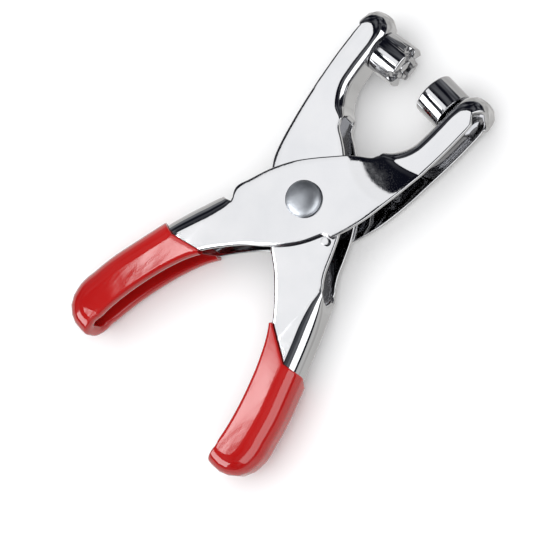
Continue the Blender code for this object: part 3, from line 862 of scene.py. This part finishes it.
def make_rivet():
    tail_top = -PIVOT_HALF - SEAT_GAP
    head_base = PIVOT_HALF + SEAT_GAP
    tail_low = tail_top - TAIL_HEIGHT
    dome = HEAD_HEIGHT - HEAD_RIM - HEAD_EASE
    profile = [
        (AXIS_RADIUS, tail_low),
        (TAIL_RADIUS - TAIL_CHAMFER, tail_low),
        (TAIL_RADIUS, tail_low + TAIL_CHAMFER),
        (TAIL_RADIUS, tail_top),
        (SHANK_RADIUS, tail_top),
        (SHANK_RADIUS, head_base),
        (HEAD_RADIUS, head_base),
    ]
    profile = rounded(profile, RIVET_ROUND)
    for k in range(DOME_STEPS):
        angle = math.pi / 2 * k / DOME_STEPS
        level = head_base + HEAD_RIM + dome * math.sin(angle)
        profile.append((HEAD_RADIUS * math.cos(angle), level))
    return make("rivet_body", turned(profile), Matrix.Translation((0.0, 0.0, MIDDLE_Z)))


def leg_end(outline, side):
    """Where a spring leg meets the inside of its handle's web, in the tool's own frame."""
    low, high = outline.length_at(outline.grip_rows[0]), outline.length_at(HANDLE_WEB_ROW)
    for _ in range(HALVINGS):
        middle = (low + high) / 2
        corner, out = outline.edge_and_normal(middle)
        low, high = (middle, high) if corner.y < -LEG_REACH else (low, middle)
    radius = outline.at(low)[BEND]
    point = corner + out * (radius - SHEET - WIRE_RADIUS - SEAT_GAP)
    turn = Matrix.Rotation(math.radians(-side * OPEN_TURN / 2), 2)
    return turn @ Vector((side * point.x, point.y))


def spring_route(outlines):
    """The middle of the wire, from the outer handle's leg round the coil to the inner's leg."""
    ends = [leg_end(outlines[0], 1.0), leg_end(outlines[1], -1.0)]
    tangents = []
    for end, sense in zip(ends, (1.0, -1.0)):
        bearing = math.atan2(end.y, end.x)
        tangents.append(bearing + sense * math.acos(COIL_RADIUS / end.length))
    start, last = tangents
    sweep = last - start
    while sweep > 0.0:
        sweep -= 2.0 * math.pi
    sweep -= 2.0 * math.pi * COIL_TURNS
    turns = abs(sweep) / (2.0 * math.pi)
    height = turns * COIL_PITCH
    coil = []
    steps = round(turns * COIL_STEPS)
    for k in range(steps + 1):
        angle = start + sweep * k / steps
        level = height * (0.5 - k / steps)
        coil.append(Vector((COIL_RADIUS * math.cos(angle), COIL_RADIUS * math.sin(angle), level)))
    first = Vector((*ends[0], height / 2))
    final = Vector((*ends[1], -height / 2))
    legs = []
    for end, root in ((first, coil[0]), (final, coil[-1])):
        legs.append([end.lerp(root, k / LEG_STEPS) for k in range(LEG_STEPS)])
    return legs[0] + coil + list(reversed(legs[1]))


def make_spring(outlines):
    """The torsion coil and its two legs, as one drawn wire with rounded ends."""
    route = spring_route(outlines)
    points = []
    rings = [(point, 1.0) for point in route]
    caps = []
    for end, inner in ((route[0], route[1]), (route[-1], route[-2])):
        cap = end + (end - inner).normalized() * WIRE_RADIUS * WIRE_END_REACH
        caps.append((cap, WIRE_END_SHARE))
    rings = caps[:1] + rings + caps[1:]
    for index, (centre, share) in enumerate(rings):
        before = rings[max(0, index - 1)][0]
        after = rings[min(len(rings) - 1, index + 1)][0]
        along = (after - before).normalized()
        across = along.cross(Vector((0.0, 0.0, 1.0))).normalized()
        rise = across.cross(along)
        for k in range(WIRE_SIDES):
            angle = 2.0 * math.pi * k / WIRE_SIDES
            offset = across * math.cos(angle) + rise * math.sin(angle)
            points.append(centre + offset * WIRE_RADIUS * share)
    shape = points, ring_faces(len(rings), WIRE_SIDES)
    return make("spring_wire", shape, Matrix.Translation((0.0, 0.0, MIDDLE_Z)))


def die_profile(front):
    """A die's whole profile from its front's: its seat on the web, its shank and its peened end."""
    seat = WEB_X - SEAT_GAP - HALF_DIE_GAP
    inside = WEB_X + SHEET + 2.0 * SEAT_GAP + WASHER_THICK - HALF_DIE_GAP
    tail = [
        (DIE_RADIUS, seat),
        (DIE_SHANK_RADIUS, seat),
        (DIE_SHANK_RADIUS, inside),
        (PEEN_RADIUS, inside),
        (PEEN_RADIUS, inside + PEEN_HEIGHT / 2),
        (PEEN_RADIUS / 2, inside + PEEN_HEIGHT),
        (AXIS_RADIUS, inside + PEEN_HEIGHT),
    ]
    return rounded([(AXIS_RADIUS, front[0][1])] + front + tail, DIE_ROUND)


def make_anvil_die():
    front = [
        (CUP_RADIUS / 2, CUP_DEPTH),
        (CUP_RADIUS, 0.0),
        (DIE_RADIUS - DIE_EDGE, 0.0),
        (DIE_RADIUS, DIE_EDGE),
    ]
    shape = moved(turned(die_profile(front)), along_x(HALF_DIE_GAP))
    return make("anvil_die_body", shape, arm_place(1.0))


def soften_edges(piece):
    """Rounds the sharp edges of the crown die, with slivers merged away before and after."""
    build = bmesh.new()
    build.from_mesh(piece.data)
    bmesh.ops.remove_doubles(build, verts=build.verts, dist=SLIVER * MM)
    sharp = [e for e in build.edges if e.is_manifold and e.calc_face_angle(0.0) > SHARP_ANGLE]
    bmesh.ops.bevel(
        build,
        geom=sharp,
        offset=PETAL_ROUND * MM,
        segments=PETAL_STEPS,
        profile=0.5,
        affect="EDGES",
        clamp_overlap=True,
    )
    bmesh.ops.remove_doubles(build, verts=build.verts, dist=SLIVER * MM / 4)
    bmesh.ops.dissolve_degenerate(build, edges=build.edges, dist=SLIVER * MM / 10)
    build.to_mesh(piece.data)
    build.free()


def make_crown_die():
    front = [
        (CENTRE_POST_RADIUS, CENTRE_POST_SHORT),
        (CENTRE_POST_RADIUS, CROWN_DEPTH),
        (DIE_RADIUS - CROWN_WALL, CROWN_DEPTH),
        (DIE_RADIUS - CROWN_WALL, 0.0),
        (DIE_RADIUS - DIE_EDGE, 0.0),
        (DIE_RADIUS, DIE_EDGE),
    ]
    placed = along_x(HALF_DIE_GAP)
    die = make("crown_die_body", moved(turned(die_profile(front)), placed), arm_place(-1.0), True)
    spot = Matrix.Translation((DIE_RADIUS - CROWN_WALL / 2, 0.0, CROWN_NOTCH_DEPTH))
    radial = spot @ Matrix.Rotation(math.pi / 2, 4, "Y")
    for k in range(CROWN_LOBES):
        around = Matrix.Rotation(math.pi * (2 * k + 1) / CROWN_LOBES, 4, "Z")
        notch = moved(rod(CROWN_NOTCH_RADIUS, -CROWN_WALL, CROWN_WALL), placed @ around @ radial)
        boolean(die, notch, arm_place(-1.0), True, "DIFFERENCE")
    soften_edges(die)
    return die


def dim_room():
    """A world that is mostly dark over pale ground, so that bright metal has both to reflect."""
    world = bpy.data.worlds.new("dim_room")
    bpy.context.scene.world = world
    nodes = Nodes(world, "Background", "Generated")
    nodes.shader.inputs["Strength"].default_value = 1.0
    patches = nodes.noise(2.6, 1.5, 0.5)
    shades = nodes.ramp(patches, DARK_SKY)
    ground = nodes.ramp(patches, PALE_GROUND)
    height = nodes.add("ShaderNodeSeparateXYZ")
    nodes.link(nodes.place, height.inputs["Vector"])
    sky = nodes.mapped(height.outputs["Z"], -HORIZON, HORIZON, 0.0, 1.0)
    both = nodes.add("ShaderNodeMix", data_type="RGBA")
    nodes.link(sky, both.inputs["Factor"])
    nodes.link(ground, both.inputs["A"])
    nodes.link(shades, both.inputs["B"])
    nodes.link(both.outputs["Result"], nodes.shader.inputs["Color"])


def studio():
    """Plain pale floor and soft boxes, in a dim room."""
    bpy.ops.mesh.primitive_plane_add(size=FLOOR_SIZE, location=(0.0, 0.0, FLOOR_LEVEL))
    floor = bpy.context.object
    floor.name = "floor"
    floor.data.materials.append(matt_floor())
    floor.visible_glossy = False
    dim_room()
    for name, spot, size, brightness in SOFT_BOXES:
        light = bpy.data.lights.new(name, "AREA")
        light.shape = "RECTANGLE"
        light.size, light.size_y = size
        light.energy = brightness * math.pi * size[0] * size[1]
        made = bpy.data.objects.new(name, light)
        bpy.context.scene.collection.objects.link(made)
        made.location = spot
        made.visible_glossy = name != "fill"
        made.visible_diffuse = name == "fill"
        if name not in OVERHEAD:
            made.rotation_euler = Vector(spot).to_track_quat("Z", "Y").to_euler()
    bpy.context.scene.view_settings.view_transform = "Standard"


def camera():
    lens = bpy.data.cameras.new("camera")
    lens.angle = math.radians(CAMERA_VIEW_DEGREES)
    made = bpy.data.objects.new("camera", lens)
    bpy.context.scene.collection.objects.link(made)
    side, up, back = (Vector(v).normalized() for v in (CAMERA_SIDE, CAMERA_UP, CAMERA_BACK))
    rivet = Vector((0.0, 0.0, MIDDLE_Z + PIVOT_HALF))
    spot = rivet + back * CAMERA_DISTANCE
    aim = rivet - side * AIM_LEFT - up * AIM_DOWN
    behind = (spot - aim).normalized()
    right = up.cross(behind).normalized()
    above = behind.cross(right)
    turn = Matrix((right, above, behind)).transposed().to_4x4()
    made.matrix_world = Matrix.Translation(spot * MM) @ turn
    bpy.context.scene.camera = made


def main():
    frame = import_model()
    nodes = frame["nodes"]

    plate = chrome("bright_plate", 0.035, 0.085, ((0.53, 0.535, 0.55), (0.58, 0.58, 0.59)))
    die_plate = chrome("die_plate", 0.06, 0.13, ((0.5, 0.505, 0.52), (0.57, 0.57, 0.585)))
    rivet_steel = satin_steel("rivet_steel", (0.5, 0.53, 0.57), (0.62, 0.65, 0.69), 0.38, 0.55)
    wire_steel = satin_steel("wire_steel", (0.18, 0.18, 0.2), (0.34, 0.35, 0.38), 0.25, 0.45)
    red = vinyl("dipped_vinyl")

    outlines = (Outline(True), Outline(False))
    outer = make_lever("outer_lever_sheet", outlines[0], 1.0)
    finish(outer, "outer_arm", "outer_lever", plate)
    inner = make_lever("inner_lever_sheet", outlines[1], -1.0)
    add_pip(inner)
    finish(inner, "inner_arm", "inner_lever", plate)
    outer_coat = make_grip("outer_grip_coat", outlines[0], 1.0)
    finish(outer_coat, "outer_arm", "outer_grip", red)
    inner_coat = make_grip("inner_grip_coat", outlines[1], -1.0)
    finish(inner_coat, "inner_arm", "inner_grip", red)
    finish(make_rivet(), "outer_arm", "pivot_rivet", rivet_steel)
    finish(make_anvil_die(), "outer_arm", "anvil_die", die_plate)
    finish(make_crown_die(), "inner_arm", "crown_die", die_plate)
    spring = make_spring(outlines)
    spring.data.materials.append(wire_steel)
    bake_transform(spring)
    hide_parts("return_spring")
    for name, material in (
        ("pivot_bush", wire_steel),
        ("anvil_die_washer", die_plate),
        ("crown_die_washer", die_plate),
    ):
        mesh = nodes[name].data
        mesh.materials.clear()
        mesh.materials.append(material)

    studio()
    camera()


main()
